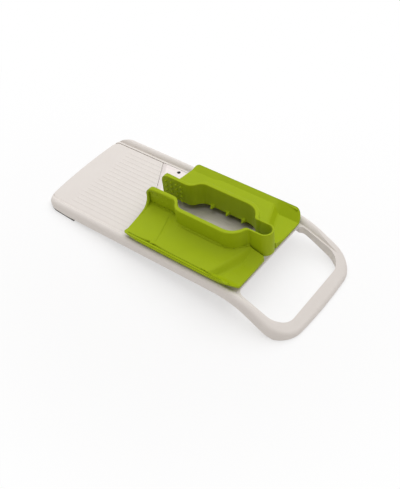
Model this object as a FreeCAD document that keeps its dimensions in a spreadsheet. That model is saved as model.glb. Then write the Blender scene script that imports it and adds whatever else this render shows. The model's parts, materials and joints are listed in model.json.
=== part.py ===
"""Mandoline slicer: a frame with a handle loop, a tilting ramp, a fixed diagonal blade and a squeeze grip.

Millimetres. Every piece is drawn in the tray's own directions: X runs along the tray from the front end
to the handle loop, Y to the far side, and Z up, with Z = 0 on the crest of the side rails. At the end each
piece is tipped back by the tray's slope, so that the slicer stands on a table at Z = 0 with its middle on
the Z axis.
"""
import math
import os
import re

import FreeCAD
import Part
import Sketcher

SIZES = {
    # frame
    "frame_width": 140.0,
    "frame_length": 338.5,
    "rail_height": 13.0,
    "rail_width": 11.5,
    "rail_round": 5.5,
    "rail_under_round": 2.0,
    "end_bow": 600.0,
    "corner_front": 20.0,
    "corner_back": 30.0,
    "front_run": 24.0,
    "front_drop": 5.5,
    "recess_depth": 4.5,
    "recess_foot": 9.5,
    "bead_round": 6.0,
    "bead_fade": 7.5,
    "ledge_width": 2.6,
    "front_bar": 11.6,
    "bend_reach": 91.5,
    "bend_radius": 90.0,
    "leg_angle": 31.0,
    "loop_reach": 68.4,
    "crossbar_width": 19.0,
    "loop_length": 55.3,
    "loop_corner_front": 8.0,
    "loop_corner_back": 20.0,
    "skin": 2.5,
    "shelf_width": 6.0,
    "shelf_thick": 2.1,
    # stance
    "rest_x": 49.0,
    "rest_drop": 15.1,
    "end_thick": 4.5,
    "foot_stand": 1.0,
    "foot_inset": 1.0,
    "foot_width": 6.0,
    "foot_reveal": 0.5,
    "foot_front": 4.6,
    "foot_length": 43.0,
    "foot_tip": 6.6,
    "handle_foot_margin": 3.0,
    "handle_foot_length": 80.0,
    "handle_foot_width": 7.0,
    # ramp
    "deck_gap": 0.4,
    "ramp_sink": 0.55,
    "ramp_thick": 2.2,
    "ramp_rib": 2.2,
    "ramp_round": 0.6,
    "ramp_corner": 7.5,
    "lip_reveal": 0.3,
    "lip_thick": 1.3,
    "lip_gap": 0.3,
    "ridge_start": 34.0,
    "ridge_lead": 9.0,
    "ridge_radius": 3.2,
    "ridge_rise": 0.4,
    "ridge_margin": 7.9,
    "hinge_setback": 3.0,
    "hinge_drop": 7.6,
    "barrel_radius": 2.4,
    "barrel_length": 8.0,
    "pin_radius": 1.5,
    "pin_length": 13.0,
    "pin_clear": 0.05,
    "follower_radius": 2.0,
    "follower_drop": 2.3,
    # blade and bed
    "blade_mid": 110.5,
    "blade_angle": 29.6,
    "blade_gap": 0.5,
    "blade_sink": 0.1,
    "blade_thick": 0.8,
    "blade_bevel": 5.0,
    "bed_margin": 18.3,
    "bed_setback": 12.0,
    "bed_thick": 3.5,
    "bed_rib": 3.0,
    "rivet_radius": 1.4,
    "rivet_head": 2.2,
    "rivet_margin": 4.4,
    "screw_radius": 1.3,
    "screw_head": 2.6,
    "screw_bite": 2.4,
    "head_height": 1.5,
    # thickness dial
    "dial_x": 90.0,
    "dial_y": -24.0,
    "dial_radius": 18.0,
    "dial_flange": 1.2,
    "dial_play": 0.2,
    "cam_radius": 12.0,
    "cam_width": 5.0,
    "cam_gap": 0.4,
    "step_rise": 0.3,
    "flute_radius": 1.1,
    "hub_radius": 4.0,
    "hub_clear": 0.05,
    "washer_radius": 6.5,
    "washer_thick": 0.6,
    "bracket_width": 26.0,
    "bracket_round": 8.0,
    "bracket_thick": 2.2,
    "bracket_pitch": 9.0,
    "bracket_margin": 3.0,
    # grip jaws
    "tab_front": 118.0,
    "tab_back": 153.0,
    "tab_half": 10.4,
    "tab_wall": 3.6,
    "tab_corner": 10.0,
    "eye_front": 174.0,
    "eye_back": 228.0,
    "eye_half": 22.3,
    "eye_wall": 5.0,
    "pinch_x": 253.0,
    "pinch_half": 7.6,
    "pinch_lead": 3.0,
    "jaw_bottom": 2.0,
    "jaw_top": 31.0,
    "jaw_round": 0.9,
    "cone_radius": 1.2,
    "cone_length": 2.0,
    "cone_inset": 7.2,
    "cone_pitch_x": 7.0,
    "cone_pitch_z": 6.8,
    "prong_length": 4.8,
    "prong_width": 6.0,
    "prong_height": 5.0,
    "prong_pitch": 21.0,
    "band_thick": 2.0,
    "band_length": 22.0,
    "band_bottom": 0.8,
    "band_gap": 0.2,
    # grip wings
    "wing_front": 124.0,
    "wing_back": 271.0,
    "wing_sweep": 7.8,
    "wing_front_corner": 5.0,
    "wing_back_corner": 11.0,
    "wing_thick": 2.2,
    "wing_edge": 1.4,
    "tab_foot": 9.5,
    "eye_foot": 16.0,
    "pinch_foot": 10.0,
    "back_foot": 0.8,
    "flare_inset": 26.0,
    "guard_inset": 3.5,
    "guard_top": 8.0,
    "front_crease": 12.5,
    "front_flat": 4.6,
    "middle_crease": 10.1,
    "middle_flat": 5.2,
    "back_crease": 15.3,
    "back_flat": -2.0,
    "rise_front": 155.0,
    "rise_back": 165.0,
    "fall_x": 262.2,
    "fall_lean": 20.6,
    "fall_run": 9.0,
    "jaw_fit": 0.05,
    "collar_width": 1.2,
    "collar_rise": 0.8,
    "curl_reach": 2.5,
    "curl_thick": 2.2,
    "curl_sweep": 13.6,
    "curl_turn": 60.0,
    "band_room": 1.2,
    "runner_gap": 3.3,
    "runner_width": 1.5,
    "runner_lift": 0.3,
}

RIDGES = 17
DIAL_STEPS = 9
STEP_ANGLE = 30
FLUTES = 24
BLENDS = 4
PAST = 5
NEAR = 0.01

X_AXIS = FreeCAD.Vector(1, 0, 0)
Y_AXIS = FreeCAD.Vector(0, 1, 0)
Z_AXIS = FreeCAD.Vector(0, 0, 1)

doc = FreeCAD.newDocument("mandoline_slicer")
sheet = doc.addObject("Spreadsheet::Sheet", "Size")
for row, (alias, number) in enumerate(SIZES.items(), start=1):
    sheet.set(f"A{row}", alias)
    sheet.set(f"B{row}", str(number))
    sheet.setAlias(f"B{row}", alias)
doc.recompute()


def full(formula):
    """The formula with each size's name turned into its place in the sheet."""
    return re.sub(r"[a-z_]+", lambda word: f"Size.{word[0]}" if word[0] in SIZES else word[0], formula)


def value(formula):
    """The number that a formula gives now."""
    return float(sheet.evalExpression(full(formula)))


def bind(thing, formulas):
    """Tie properties of an object to formulas."""
    for name, formula in formulas.items():
        thing.setExpression(name, full(formula))


# Outlines lie in the plan (X, Y), in the side view (X, Z) or in a cross section (Y, Z).
VIEWS = {
    "plan": (FreeCAD.Rotation(), "Placement.Base.z"),
    "side": (FreeCAD.Rotation(X_AXIS, 90), "Placement.Base.y"),
    "section": (FreeCAD.Rotation(FreeCAD.Vector(1, 1, 1), 120), "Placement.Base.x"),
}


def arc_centre(first, second, radius):
    """Centre of the short arc between two points: left of the way, or right of it for a minus radius."""
    chord = second - first
    left = FreeCAD.Vector(-chord.y, chord.x, 0).normalize()
    reach = math.sqrt(max(radius * radius - chord.Length * chord.Length / 4, 0))
    return (first + second) * 0.5 + left * math.copysign(reach, radius)


def outline(name, view, corners, level="0", lean="0"):
    """Closed sketch through corners, each two formulas and, if the edge that follows is an arc, its radius.

    Lean turns the sketch about the upright, in degrees.
    """
    sketch = doc.addObject("Sketcher::SketchObject", name)
    turn, depth = VIEWS[view]
    sketch.Placement = FreeCAD.Placement(FreeCAD.Vector(), FreeCAD.Rotation(Z_AXIS, -value(lean)) * turn)
    bind(sketch, {depth: level})
    points = [FreeCAD.Vector(value(corner[0]), value(corner[1]), 0) for corner in corners]
    ends = []
    rules = []
    for index, corner in enumerate(corners):
        first = points[index]
        second = points[(index + 1) % len(points)]
        if len(corner) == 2:
            sketch.addGeometry(Part.LineSegment(first, second))
            ends.append((1, 2))
            continue
        radius = value(corner[2])
        centre = arc_centre(first, second, radius)
        begin, finish = (first, second) if radius > 0 else (second, first)
        start_angle = math.atan2(begin.y - centre.y, begin.x - centre.x)
        end_angle = math.atan2(finish.y - centre.y, finish.x - centre.x)
        circle = Part.Circle(centre, Z_AXIS, abs(radius))
        sketch.addGeometry(Part.ArcOfCircle(circle, start_angle, end_angle))
        ends.append((1, 2) if radius > 0 else (2, 1))
        rules.append((Sketcher.Constraint("Radius", index, abs(radius)), f"abs({corner[2]})"))
    for index, corner in enumerate(corners):
        after = (index + 1) % len(corners)
        rules.append((Sketcher.Constraint("Coincident", index, ends[index][1], after, ends[after][0]), None))
        place = ends[index][0]
        for kind, axis, formula, number in (
            ("DistanceX", -2, corner[0], points[index].x),
            ("DistanceY", -1, corner[1], points[index].y),
        ):
            if formula == "0":
                rules.append((Sketcher.Constraint("PointOnObject", index, place, axis), None))
            else:
                rules.append((Sketcher.Constraint(kind, -1, 1, index, place, number), formula))
    numbers = sketch.addConstraint([rule for rule, formula in rules])
    for number, (rule, formula) in zip(numbers, rules):
        if formula:
            bind(sketch, {f"Constraints[{number}]": formula})
    return sketch


def prism(name, sketch, direction, forward, backward="0"):
    """A sketch drawn out along a direction."""
    solid = doc.addObject("Part::Extrusion", name)
    solid.Base = sketch
    solid.DirMode = "Custom"
    solid.Dir = direction
    solid.Solid = True
    bind(solid, {"LengthFwd": forward, "LengthRev": backward})
    return solid


def plate(name, corners, low, high):
    """A plan outline drawn up from one level to another."""
    return prism(name, outline(f"{name}_plan", "plan", corners, low), Z_AXIS, f"({high}) - ({low})")


def block(name, x_span, y_span, z_span):
    """A box between formulas."""
    solid = doc.addObject("Part::Box", name)
    for size, axis, (low, high) in zip(("Length", "Width", "Height"), "xyz", (x_span, y_span, z_span)):
        bind(solid, {size: f"({high}) - ({low})", f"Placement.Base.{axis}": low})
    return solid


def rod(name, direction, start, radius, length):
    """A cylinder from a start point along a direction."""
    solid = doc.addObject("Part::Cylinder", name)
    solid.Placement.Rotation = FreeCAD.Rotation(Z_AXIS, direction)
    bind(solid, {"Radius": radius, "Height": length})
    for axis, formula in zip("xyz", start):
        bind(solid, {f"Placement.Base.{axis}": formula})
    return solid


def taper(name, direction, start, radius, tip_radius, length):
    """A cone cut off at its tip, from a start point along a direction."""
    solid = doc.addObject("Part::Cone", name)
    solid.Placement.Rotation = FreeCAD.Rotation(Z_AXIS, direction)
    bind(solid, {"Radius1": radius, "Radius2": tip_radius, "Height": length})
    for axis, formula in zip("xyz", start):
        bind(solid, {f"Placement.Base.{axis}": formula})
    return solid


def join(name, solids):
    solid = doc.addObject("Part::MultiFuse", name)
    solid.Shapes = solids
    solid.Refine = True
    return solid


def overlap(name, solids):
    solid = doc.addObject("Part::MultiCommon", name)
    solid.Shapes = solids
    return solid


def cut(name, solid, tools):
    result = doc.addObject("Part::Cut", name)
    result.Base = solid
    result.Tool = join(f"{name}_tools", tools) if len(tools) > 1 else tools[0]
    return result


def group(name, solids):
    """Separate solids that share one node."""
    result = doc.addObject("Part::Compound", name)
    result.Links = solids
    return result


def rounded(name, solid, radius, chosen):
    """Fillet on every edge that the chosen rule accepts."""
    doc.recompute()
    result = doc.addObject("Part::Fillet", name)
    result.Base = solid
    size = value(radius)
    edges = enumerate(solid.Shape.Edges, start=1)
    result.Edges = [(number, size, size) for number, edge in edges if chosen(edge)]
    return result


def samples(edge):
    """Five points along an edge."""
    low, high = edge.ParameterRange
    return [edge.valueAt(low + (high - low) * step / 4) for step in range(5)]


def mirrored(name, solid):
    result = doc.addObject("Part::Mirroring", name)
    result.Source = solid
    result.Normal = Y_AXIS
    return result


HALF = "(frame_width / 2)"
BEND_START = "(frame_length - bend_reach)"
BEND_END_X = f"({BEND_START} + bend_radius * sin(leg_angle))"
BEND_END_Z = "(-bend_radius * (1 - cos(leg_angle)))"
DECK_END = "(frame_length - loop_reach)"
WINDOW_HALF = f"({HALF} - recess_foot - ledge_width)"
WINDOW_BACK = f"({DECK_END} - crossbar_width)"
DECK_HALF = f"({WINDOW_HALF} - deck_gap)"
RAMP_TOP = "(-recess_depth - ramp_sink)"
RAMP_LOW = f"({RAMP_TOP} - ramp_thick)"
LIP_LOW = f"({RAMP_TOP} - lip_thick)"
RIDGE_PITCH = f"(2 * ({DECK_HALF} - ridge_margin) / {RIDGES - 1})"
BLADE_TOP = "(-recess_depth - blade_sink)"
BLADE_END = f"({WINDOW_BACK} - bed_margin)"
BED_TOP = f"({BLADE_TOP} - blade_thick)"
BED_LOW = f"({BED_TOP} - bed_thick)"
HINGE_X = "(front_bar + deck_gap + hinge_setback)"
CAM_TOP = f"({RAMP_LOW} - follower_drop - cam_gap)"
FLANGE_TOP = f"({CAM_TOP} - {DIAL_STEPS - 1} * step_rise)"
FLANGE_LOW = f"({FLANGE_TOP} - dial_flange)"
BRACKET_TOP = f"({FLANGE_LOW} - dial_play)"
BRACKET_LOW = f"({BRACKET_TOP} - bracket_thick)"
HUB_TOP = f"({FLANGE_TOP} + dial_play)"
FLARE_END = f"({HALF} - flare_inset)"
GUARD_END = f"({HALF} - guard_inset)"
END_TOP = f"({BEND_END_Z} - tan(leg_angle) * (frame_length - {BEND_END_X}))"
TRAY_TILT = f"atan((end_thick - {END_TOP} - rest_drop) / (frame_length - rest_x))"


def ramp_edge(across):
    """X of the ramp's diagonal end at a place across the tray."""
    return f"(blade_mid - ({across}) * tan(blade_angle))"


def bowed_end(half, corner, bow):
    """How far behind a bowed end's crown its corner leaves the side, and where the corner meets the bow."""
    reach = f"({bow} - ({corner}))"
    depth = f"sqrt({reach} ^ 2 - ({half} - ({corner})) ^ 2)"
    side_x = f"({bow} - {depth})"
    touch_x = f"({bow} - {depth} * {bow} / {reach})"
    touch_y = f"(({half} - ({corner})) * {bow} / {reach})"
    return side_x, touch_x, touch_y


def table_slab(name, low, high):
    """A slab parallel to the table, between two heights above it, under the whole tray."""
    before = 100
    solid = doc.addObject("Part::Box", name)
    solid.Placement.Rotation = FreeCAD.Rotation(Y_AXIS, 1)
    bind(solid, {
        "Length": f"frame_length + {2 * before}",
        "Width": f"frame_width + {2 * PAST}",
        "Height": f"({high}) - ({low})",
        "Placement.Rotation.Angle": TRAY_TILT,
        "Placement.Base.x": f"rest_x - {before} * cos({TRAY_TILT}) + ({low}) * sin({TRAY_TILT})",
        "Placement.Base.y": f"-{HALF} - {PAST}",
        "Placement.Base.z": f"-rest_drop + {before} * sin({TRAY_TILT}) + ({low}) * cos({TRAY_TILT})",
    })
    return solid


def around_bend(name, sketch, angle):
    """A cross section drawn at the start of the bend, swept round it by an angle."""
    solid = doc.addObject("Part::Revolution", name)
    solid.Source = sketch
    solid.Axis = Y_AXIS
    solid.Solid = True
    bind(solid, {"Angle": angle, "Base.x": BEND_START, "Base.z": "-bend_radius"})
    return solid


def frame_profile():
    """Side view of the frame, drawn out across it: low at the front, level, then bent down to the loop."""
    front_radius = "((front_run ^ 2 + front_drop ^ 2) / (2 * front_drop))"
    front_z = f"(sqrt({front_radius} ^ 2 - (front_run + {PAST}) ^ 2) - {front_radius})"
    tip_x = f"(frame_length + {PAST})"
    inner_radius = "(bend_radius - rail_height)"
    low_x = f"({BEND_START} + {inner_radius} * sin(leg_angle))"
    low_z = f"({inner_radius} * cos(leg_angle) - bend_radius)"
    side = outline("frame_side", "side", [
        (f"{-PAST}", front_z, f"-{front_radius}"),
        ("front_run", "0"),
        (BEND_START, "0", "-bend_radius"),
        (BEND_END_X, BEND_END_Z),
        (tip_x, f"{BEND_END_Z} - tan(leg_angle) * ({tip_x} - {BEND_END_X})"),
        (tip_x, f"{low_z} - tan(leg_angle) * ({tip_x} - {low_x})"),
        (low_x, low_z, inner_radius),
        (BEND_START, "-rail_height"),
        (f"{-PAST}", "-rail_height"),
    ])
    return prism("frame_profile", side, Y_AXIS, f"{HALF} + {PAST}", f"{HALF} + {PAST}")


def frame_envelope():
    """The profile crossed with the plan outline, rounded all the way round above and below."""
    front_x, front_touch_x, front_touch_y = bowed_end(HALF, "corner_front", "end_bow")
    back_x, back_touch_x, back_touch_y = bowed_end(HALF, "corner_back", "end_bow")
    plan = outline("frame_plan", "plan", [
        (front_x, f"-{HALF}"),
        (f"frame_length - {back_x}", f"-{HALF}", "corner_back"),
        (f"frame_length - {back_touch_x}", f"-{back_touch_y}", "end_bow"),
        (f"frame_length - {back_touch_x}", back_touch_y, "corner_back"),
        (f"frame_length - {back_x}", HALF),
        (front_x, HALF, "corner_front"),
        (front_touch_x, front_touch_y, "end_bow"),
        (front_touch_x, f"-{front_touch_y}", "corner_front"),
    ])
    profile = frame_profile()
    tall = prism("frame_outline", plan, Z_AXIS, f"{PAST}", "frame_length / 2")
    envelope = overlap("frame_envelope", [profile, tall])
    doc.recompute()
    walls = [face for face in tall.Shape.Faces if abs(face.normalAt(0, 0).z) < 0.5]

    def on_wall(point):
        vertex = Part.Vertex(point)
        return any(wall.distToShape(vertex)[0] < NEAR for wall in walls)

    def runs_round(edge):
        points = samples(edge)
        upright = math.hypot(points[0].x - points[-1].x, points[0].y - points[-1].y) < NEAR
        return not upright and all(on_wall(point) for point in points)

    middle = value("-rail_height / 2")
    slope = math.tan(math.radians(value("leg_angle")))
    bend_start = value(BEND_START)
    bend_radius = value("bend_radius")
    bend_end_x = value(BEND_END_X)
    bend_end_z = value(BEND_END_Z)

    def height_at(x):
        if x <= bend_start:
            return 0
        if x <= bend_end_x:
            return math.sqrt(bend_radius ** 2 - (x - bend_start) ** 2) - bend_radius
        return bend_end_z - slope * (x - bend_end_x)

    def above(edge):
        point = samples(edge)[2]
        return runs_round(edge) and point.z > height_at(point.x) + middle

    def below(edge):
        point = samples(edge)[2]
        return runs_round(edge) and point.z < height_at(point.x) + middle

    crowned = rounded("frame_crowned", envelope, "rail_round", above)
    return rounded("frame_rounded", crowned, "rail_under_round", below)


def recess_section(name, level):
    """Cross section of the room over the deck: flat floor, and sides that leave the rails a round bead."""
    foot = f"({HALF} - recess_foot)"
    crest = f"({foot} + sqrt(bead_round ^ 2 - (bead_round - recess_depth) ^ 2))"
    return outline(name, "section", [
        (f"-{foot}", "-recess_depth"),
        (foot, "-recess_depth", "-bead_round"),
        (crest, "0"),
        (crest, f"{PAST}"),
        (f"-{crest}", f"{PAST}"),
        (f"-{crest}", "0", "-bead_round"),
    ], level)


def frame_recess():
    """Room over the deck and round the bend, running out of the loop's arms towards their end."""
    before = 2 * PAST
    turn = "(leg_angle - bead_fade)"
    front_section = recess_section("recess_front", f"-{before}")
    deck = prism("recess_deck", front_section, X_AXIS, f"{BEND_START} + {before}")
    bend = around_bend("recess_bend", recess_section("recess_middle", BEND_START), turn)
    leg = prism("recess_leg", recess_section("recess_back", "0"), X_AXIS, "frame_length")
    leg.Placement.Rotation = FreeCAD.Rotation(Y_AXIS, 1)
    bind(leg, {
        "Placement.Rotation.Angle": turn,
        "Placement.Base.x": f"{BEND_START} + bend_radius * sin({turn})",
        "Placement.Base.z": f"-bend_radius * (1 - cos({turn}))",
    })
    return join("recess", [deck, bend, leg])


def ramp_outline(half, reveal, corner):
    """Corners of the ramp's front, from the far side to the near one."""
    bow = f"(end_bow - ({reveal}))"
    side_x, touch_x, touch_y = bowed_end(half, corner, bow)
    return [
        (f"{side_x} + {reveal}", half, corner),
        (f"{touch_x} + {reveal}", touch_y, bow),
        (f"{touch_x} + {reveal}", f"-{touch_y}", corner),
        (f"{side_x} + {reveal}", f"-{half}"),
    ]


def lip_pocket():
    """Room for the ramp's front lip over the front bar, open to the front."""
    seat = f"({LIP_LOW} - lip_gap)"
    corner = "(ramp_corner + deck_gap)"
    back = "front_bar + skin"
    front = ramp_outline(WINDOW_HALF, "(lip_reveal - deck_gap)", corner)
    bed = plate("lip_bed", front + [(back, f"-{WINDOW_HALF}"), (back, WINDOW_HALF)], seat, f"{PAST}")
    mouth_half = f"({WINDOW_HALF} - {corner})"
    mouth = block("lip_mouth", (f"{-PAST}", corner), (f"-{mouth_half}", mouth_half), (seat, f"{PAST}"))
    return [bed, mouth]


def loop_opening():
    """The hand opening between the crossbar and the end of the loop."""
    side = f"({HALF} - rail_width)"
    back = f"({DECK_END} + loop_length)"
    return plate("loop_opening", [
        (f"{DECK_END} + loop_corner_front", f"-{side}"),
        (f"{back} - loop_corner_back", f"-{side}", "loop_corner_back"),
        (back, f"-{side} + loop_corner_back"),
        (back, f"{side} - loop_corner_back", "loop_corner_back"),
        (f"{back} - loop_corner_back", side),
        (f"{DECK_END} + loop_corner_front", side, "loop_corner_front"),
        (DECK_END, f"{side} - loop_corner_front"),
        (DECK_END, f"-{side} + loop_corner_front", "loop_corner_front"),
    ], "-frame_length / 2", f"{PAST}")


def rail_hollows():
    """Pockets from below that leave a skin and ribs along the rails, the crossbar and the loop's arms."""
    inner = f"({WINDOW_HALF} + skin)"
    outer = f"({HALF} - skin)"
    ceiling = "(-recess_depth - skin)"
    floor = f"(-rail_height - {PAST})"
    bracket_front = "(dial_x - bracket_width / 2)"
    bracket_back = "(dial_x + bracket_width / 2)"
    front = "(foot_front + foot_length + skin)"
    bays = 4
    bay = f"(({BEND_START} - {bracket_back} - skin) / {bays})"
    spans = [(front, f"{bracket_front} - skin")]
    for index in range(bays):
        begin = f"{bracket_back} + skin + {index} * {bay}"
        spans.append((begin, f"{begin} + {bay} - skin"))
    hollows = []
    for index, (begin, end) in enumerate(spans):
        hollows.append(block(f"near_bay_{index}", (begin, end), (f"-{outer}", f"-{inner}"), (floor, ceiling)))
        hollows.append(block(f"far_bay_{index}", (begin, end), (inner, outer), (floor, ceiling)))
    crossbar_half = f"({WINDOW_HALF} - skin)"
    sag = f"(bend_radius - sqrt(bend_radius ^ 2 - ({DECK_END} - {BEND_START}) ^ 2))"
    span = (f"{WINDOW_BACK} + skin", f"{DECK_END} + skin")
    levels = (f"{floor} - {sag}", f"{ceiling} - {sag}")
    hollows.append(block("crossbar_bay", span, (f"-{crossbar_half}", crossbar_half), levels))
    arm_inner = f"({HALF} - rail_width + skin)"
    for side, low, high in (("near", f"-{outer}", f"-{arm_inner}"), ("far", arm_inner, outer)):
        corners = [(low, floor), (high, floor), (high, ceiling), (low, ceiling)]
        section = outline(f"{side}_arm_section", "section", corners, BEND_START)
        hollows.append(around_bend(f"{side}_arm_bay", section, "leg_angle"))
    return hollows


def shelves():
    """Ledges inside the rails that carry the blade bed."""
    inner = f"({WINDOW_HALF} - shelf_width)"
    outer = f"({WINDOW_HALF} + skin / 2)"
    levels = (f"{BED_LOW} - shelf_thick", BED_LOW)
    clear = "shelf_width + skin"
    back = f"{WINDOW_BACK} + skin / 2"
    near_front = ramp_edge(f"-{DECK_HALF}")
    far_front = ramp_edge(DECK_HALF)
    return [
        block("near_shelf", (f"{near_front} + {clear}", back), (f"-{outer}", f"-{inner}"), levels),
        block("far_shelf", (f"{far_front} + {clear}", back), (inner, outer), levels),
    ]


def foot_room(name, sign, lift):
    """Room under a rail's front end, outside the foot's inner edge, raised by a lift."""
    inner = f"({HALF} - foot_reveal - foot_width)"
    back = "(foot_front + foot_length)"
    side = outline(f"{name}_side", "side", [
        (f"{-PAST}", "-2 * rail_height"),
        (back, "-2 * rail_height"),
        (back, f"{lift} - rail_height"),
        ("0", f"{lift} - foot_tip"),
        (f"{-PAST}", f"{lift} - foot_tip"),
    ], f"{sign} * {inner}")
    return prism(name, side, Y_AXIS * sign, f"foot_width + {PAST}")


def front_foot():
    """Non-slip strip: thin along the front end, with a taller leg under each rail."""
    outer = f"({HALF} - foot_reveal)"
    inner = f"({outer} - foot_width)"
    radius = "(corner_front - foot_reveal)"
    corner_x = bowed_end(HALF, "corner_front", "end_bow")[0]
    corner_y = f"({HALF} - corner_front + sqrt({radius} ^ 2 - ({corner_x} - foot_front) ^ 2))"
    back = "(foot_front + foot_length)"
    strip = plate("front_strip", [
        (back, f"-{inner}"),
        ("foot_front + foot_width", f"-{inner}"),
        ("foot_front + foot_width", inner),
        (back, inner),
        (back, outer),
        (corner_x, outer, radius),
        ("foot_front", corner_y),
        ("foot_front", f"-{corner_y}", radius),
        (corner_x, f"-{outer}"),
        (back, f"-{outer}"),
    ], "-2 * rail_height", "0")
    slab = table_slab("front_foot_slab", "0", "foot_stand + foot_inset")
    above = table_slab("foot_leg_slab", "0", "rail_height")
    pieces = [overlap("front_foot_bar", [strip, slab])]
    for side, sign in (("far", 1), ("near", -1)):
        leg = foot_room(f"{side}_leg_room", sign, "foot_inset")
        pieces.append(overlap(f"{side}_foot_leg", [strip, leg, above]))
    return join("front_foot_form", pieces)


def handle_foot():
    """Non-slip strip under the end of the loop."""
    back = "(frame_length - handle_foot_margin)"
    side = "(handle_foot_length / 2)"
    levels = ("-frame_length / 2", "0")
    strip = block("handle_strip", (f"{back} - handle_foot_width", back), (f"-{side}", side), levels)
    slab = table_slab("handle_foot_slab", "0", "foot_stand + foot_inset")
    return overlap("handle_foot_form", [strip, slab])


def ramp_pins():
    pins = []
    for side, direction in (("far", 1), ("near", -1)):
        start = f"{direction} * ({DECK_HALF} - barrel_length)"
        way = Y_AXIS * direction
        pins.append(rod(f"{side}_ramp_pin", way, (HINGE_X, start, "-hinge_drop"), "pin_radius", "pin_length"))
    return pins


def ramp_deck():
    """The ramp's plate: a thin front lip with a rounded edge, and a thicker part behind the front bar."""
    diagonal = [
        (ramp_edge(f"-{DECK_HALF}"), f"-{DECK_HALF}"),
        (ramp_edge(DECK_HALF), DECK_HALF),
    ]
    top_corners = ramp_outline(DECK_HALF, "lip_reveal", "ramp_corner") + diagonal
    top = plate("ramp_top", top_corners, LIP_LOW, RAMP_TOP)
    level = value(RAMP_TOP)
    behind = value(f"blade_mid - {DECK_HALF}")

    def on_rim(edge):
        points = samples(edge)
        on_diagonal = abs(points[0].y + points[-1].y) < NEAR and points[2].x > behind
        return not on_diagonal and all(abs(point.z - level) < NEAR for point in points)

    front = "(front_bar + deck_gap)"
    base = plate("ramp_base", [(front, f"-{DECK_HALF}")] + diagonal + [(front, DECK_HALF)], RAMP_LOW, LIP_LOW)
    return [rounded("ramp_top_rounded", top, "ramp_round", on_rim), base]


def ramp_ridges():
    """Low round ridges that rise out of the plate and run to its diagonal end."""
    axis_z = f"({RAMP_TOP} + ridge_rise - ridge_radius)"
    flush = "(ridge_radius - ridge_rise)"
    rods = []
    for index in range(RIDGES):
        across = f"{index - RIDGES // 2} * {RIDGE_PITCH}"
        lead = ("ridge_start - ridge_lead", across, axis_z)
        rods.append(taper(f"ridge_lead_{index}", X_AXIS, lead, flush, "ridge_radius", "ridge_lead"))
        start = ("ridge_start", across, axis_z)
        rods.append(rod(f"ridge_{index}", X_AXIS, start, "ridge_radius", "blade_mid"))
    front = "(front_bar + deck_gap)"
    room = plate("ridge_room", [
        (front, f"-{DECK_HALF}"),
        (ramp_edge(f"-{DECK_HALF}"), f"-{DECK_HALF}"),
        (ramp_edge(DECK_HALF), DECK_HALF),
        (front, DECK_HALF),
    ], RAMP_LOW, f"{PAST}")
    return overlap("ramp_ridges", [join("ridge_rods", rods), room])


def ramp_plate():
    """Ridged plate that swings on the pins and rests its follower on the dial."""
    pieces = ramp_deck() + [ramp_ridges()]
    rib_sides = (f"-{DECK_HALF}", f"{DECK_HALF} - skin", "dial_radius", "2 * dial_radius")
    for index, across in enumerate(rib_sides):
        span = (f"{HINGE_X} + barrel_radius", f"{ramp_edge(f'{across} + skin')} - {2 * PAST}")
        levels = (f"{RAMP_LOW} - ramp_rib", RAMP_LOW)
        pieces.append(block(f"ramp_rib_{index}", span, (across, f"{across} + skin"), levels))
    follower = ("dial_x + cam_radius", "dial_y", f"{RAMP_LOW} - follower_drop")
    pieces.append(rod("ramp_follower", Z_AXIS, follower, "follower_radius", "follower_drop + ramp_thick / 2"))
    bores = []
    for side, direction in (("far", 1), ("near", -1)):
        way = Y_AXIS * direction
        inner = f"({DECK_HALF} - barrel_length)"
        barrel = (HINGE_X, f"{direction} * {inner}", "-hinge_drop")
        pieces.append(rod(f"{side}_barrel", way, barrel, "barrel_radius", "barrel_length"))
        bore = (HINGE_X, f"{direction} * ({inner} - pin_radius)", "-hinge_drop")
        length = "barrel_length + pin_radius + deck_gap"
        bores.append(rod(f"{side}_pin_bore", way, bore, "pin_radius + pin_clear", length))
    return cut("ramp_plate", join("ramp_body", pieces), bores)


def rivet(name, x, y):
    """Countersunk rivet through blade and bed."""
    return join(name, [
        taper(f"{name}_head", -Z_AXIS, (x, y, BLADE_TOP), "rivet_head", "rivet_radius", "blade_thick"),
        rod(f"{name}_shank", -Z_AXIS, (x, y, BLADE_TOP), "rivet_radius", "blade_thick + bed_thick"),
        rod(f"{name}_tail", Z_AXIS, (x, y, BED_LOW), "rivet_head", "head_height / 2"),
    ])


def blade_rivets():
    """Two rivets behind the edge and two at the back."""
    across = f"({DECK_HALF} - rivet_margin)"
    behind = "(bed_setback + 2 * blade_bevel)"
    rows = []
    for side, sign in (("far", "1"), ("near", "-1")):
        place = f"({sign} * {across})"
        rows.append(rivet(f"{side}_front_rivet", f"{ramp_edge(place)} + {behind} / cos(blade_angle)", place))
        rows.append(rivet(f"{side}_back_rivet", f"{BLADE_END} - blade_bevel - rivet_head", place))
    return rows


def blade(rivets):
    """Steel plate with a ground edge along the diagonal."""
    section = outline("blade_section", "side", [
        ("0", BED_TOP),
        ("frame_length", BED_TOP),
        ("frame_length", BLADE_TOP),
        ("blade_bevel", BLADE_TOP),
    ])
    strip = prism("blade_strip", section, Y_AXIS, "frame_width", "frame_width")
    strip.Placement.Rotation = FreeCAD.Rotation(Z_AXIS, 1)
    bind(strip, {"Placement.Rotation.Angle": "blade_angle", "Placement.Base.x": "blade_mid + blade_gap"})
    room = block("blade_room", ("0", BLADE_END), (f"-{DECK_HALF}", DECK_HALF), (BED_LOW, "0"))
    return cut("blade", overlap("blade_blank", [strip, room]), rivets)


def screw(name, place, length):
    """A screw from below: head under the place, shank above it."""
    return join(name, [
        rod(f"{name}_shank", Z_AXIS, place, "screw_radius", length),
        rod(f"{name}_head", -Z_AXIS, place, "screw_head", "head_height"),
    ])


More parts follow.
